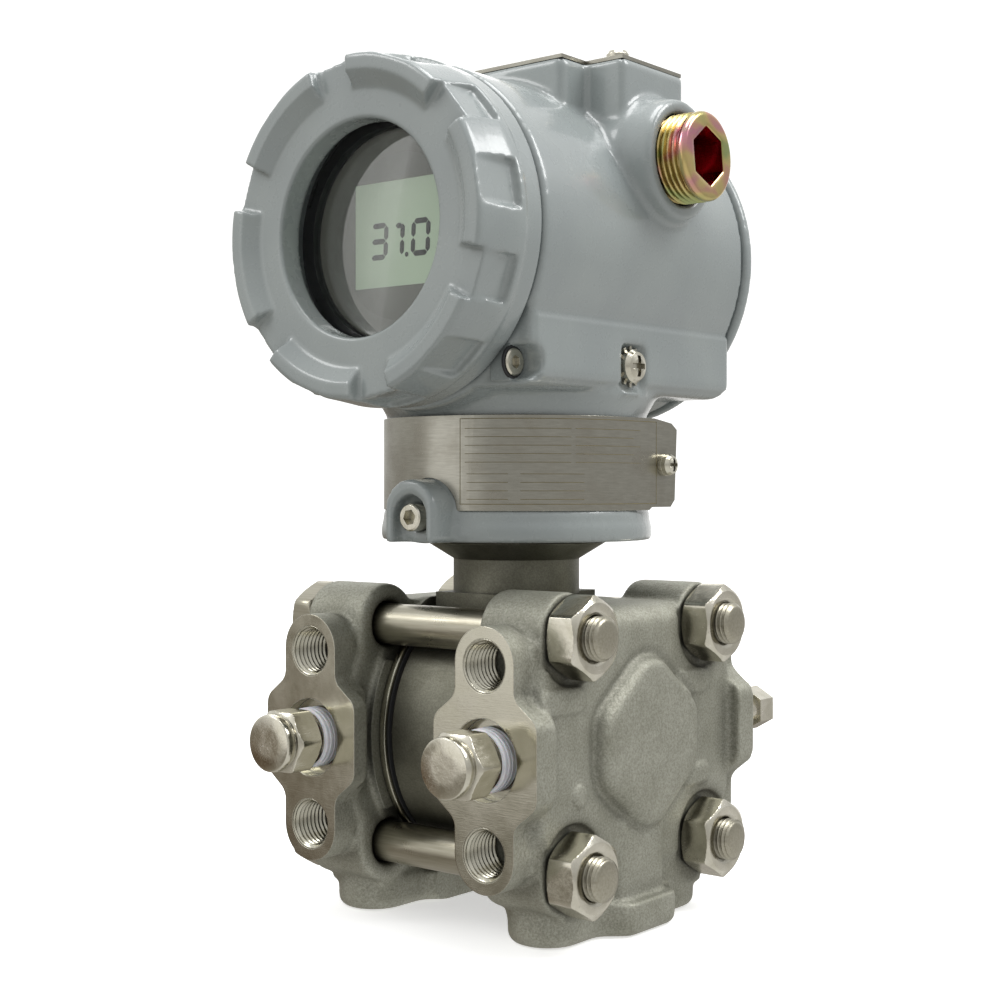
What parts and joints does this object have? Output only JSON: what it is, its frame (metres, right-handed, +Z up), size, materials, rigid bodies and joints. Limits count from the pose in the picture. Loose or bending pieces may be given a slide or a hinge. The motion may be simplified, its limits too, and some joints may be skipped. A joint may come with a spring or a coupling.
{
  "type": "differential pressure transmitter",
  "caption": "Process instrument with a two-port bolted wetted body and a round display housing that turns on its neck.",
  "frame": {"origin": "centre of the four process mounting holes, in the plane of the machined front faces of the flanges", "axes": "+Z up along the neck, -Y out of the process faces and the display, +X towards the flange nuts"},
  "size_m": [0.0939, 0.1323, 0.2071],
  "materials": {
    "cast_steel": "shot-blasted casting with machined faces",
    "bright_steel": "polished",
    "machined_steel": "turned",
    "white_tape": "soft",
    "grey_paint": "glossy",
    "band_steel": "satin",
    "yellow_zinc": "yellow passivated",
    "window": "clear",
    "black_rubber": "matt",
    "ring_metal": "anodised",
    "dark_plastic": "moulded",
    "display": "liquid crystal panel",
    "board": "lacquered board",
    "ribbon": "film",
    "cell": "ground",
    "spring_wire": "drawn"
  },
  "bodies": {
    "wetted_body": {"process_flange_right": "cast_steel", "process_flange_left": "cast_steel", "flange_bolts": "bright_steel", "flange_nuts": "bright_steel", "process_plug_right": "bright_steel", "process_plug_left": "bright_steel", "thread_tape_right": "white_tape", "thread_tape_left": "white_tape", "vent_body_right": "bright_steel", "vent_body_left": "bright_steel", "process_gasket_right": "white_tape", "process_gasket_left": "white_tape", "diaphragm_right": "machined_steel", "diaphragm_left": "machined_steel", "sensor_body": "machined_steel", "sensor_cell": "cell", "header": "cell", "neck_oring": "black_rubber"},
    "housing": {"band_lock_washer": "bright_steel", "conduit_plug": "yellow_zinc", "display_board": "board", "display_screws": "bright_steel", "electronics_module": "dark_plastic", "flex_ribbon": "ribbon", "front_cover_lock_screw": "bright_steel", "ground_screw": "bright_steel", "ground_washer": "bright_steel", "housing_body": "grey_paint", "housing_set_screw": "bright_steel", "inner_ground_screw": "bright_steel", "label_band": "band_steel", "label_band_screw": "bright_steel", "lcd_bezel": "dark_plastic", "lcd_panel": "display", "lock_screw_rings": "black_rubber", "module_screws": "bright_steel", "rear_cover_lock_screw": "bright_steel", "span_spring": "spring_wire", "tag_end_screw": "bright_steel", "tag_pivot_screw": "bright_steel", "terminal_block": "dark_plastic", "terminal_screws": "bright_steel", "zero_spring": "spring_wire"},
    "right_bleed": {"bleed_screw_right": "bright_steel"},
    "left_bleed": {"bleed_screw_left": "bright_steel"},
    "tag": {"tag_plate": "band_steel"},
    "zero": {"zero_button": "dark_plastic"},
    "span": {"span_button": "dark_plastic"},
    "front_seal": {"display_cover_seal": "black_rubber"},
    "front_cover": {"display_cover": "grey_paint", "window_glass": "window", "window_gasket": "black_rubber", "window_retainer": "ring_metal"},
    "rear_seal": {"rear_cover_seal": "black_rubber"},
    "rear_cap": {"rear_cover": "grey_paint"}
  },
  "joints": [
    {"name": "housing_turn", "type": "hinge", "parent": "wetted_body", "child": "housing", "pos_m": [0, 0.04515, 0.06], "axis": [0, 0, 1], "range_deg": [-180, 180]},
    {"name": "front_cover_travel", "type": "slide", "parent": "housing", "child": "front_seal", "axis": [0, -1, 0], "range_m": [0, 0.0101]},
    {"name": "front_cover_screw", "type": "hinge", "parent": "front_seal", "child": "front_cover", "pos_m": [0, 0, 0.1173], "axis": [0, -1, 0], "range_deg": [0, 1800]},
    {"name": "rear_cover_travel", "type": "slide", "parent": "housing", "child": "rear_seal", "axis": [0, 1, 0], "range_m": [0, 0.0101]},
    {"name": "rear_cover_screw", "type": "hinge", "parent": "rear_seal", "child": "rear_cap", "pos_m": [0, 0.0875, 0.1173], "axis": [0, 1, 0], "range_deg": [0, 1800]},
    {"name": "tag_swing", "type": "hinge", "parent": "housing", "child": "tag", "pos_m": [0.031, 0.0446, 0.1606], "axis": [0, 0, -1], "range_deg": [0, 120]},
    {"name": "zero_push", "type": "slide", "parent": "housing", "child": "zero", "axis": [0, 0, -1], "range_m": [0, 0.0015], "stiffness_N_per_m": 300, "springref_m": -0.001, "deforming": ["zero_spring"]},
    {"name": "span_push", "type": "slide", "parent": "housing", "child": "span", "axis": [0, 0, -1], "range_m": [0, 0.0015], "stiffness_N_per_m": 300, "springref_m": -0.001, "deforming": ["span_spring"]},
    {"name": "right_bleed_turn", "type": "hinge", "parent": "wetted_body", "child": "right_bleed", "pos_m": [0.027, 0.0903, 0], "axis": [0, 1, 0], "range_deg": [0, 360]},
    {"name": "left_bleed_turn", "type": "hinge", "parent": "wetted_body", "child": "left_bleed", "pos_m": [-0.027, 0.0903, 0], "axis": [0, 1, 0], "range_deg": [0, 360]}
  ],
  "couplings": [
    {"joint": "front_cover_travel", "follows": "front_cover_screw", "m_per_rad": 0.00031831},
    {"joint": "rear_cover_travel", "follows": "rear_cover_screw", "m_per_rad": 0.00031831}
  ]
}
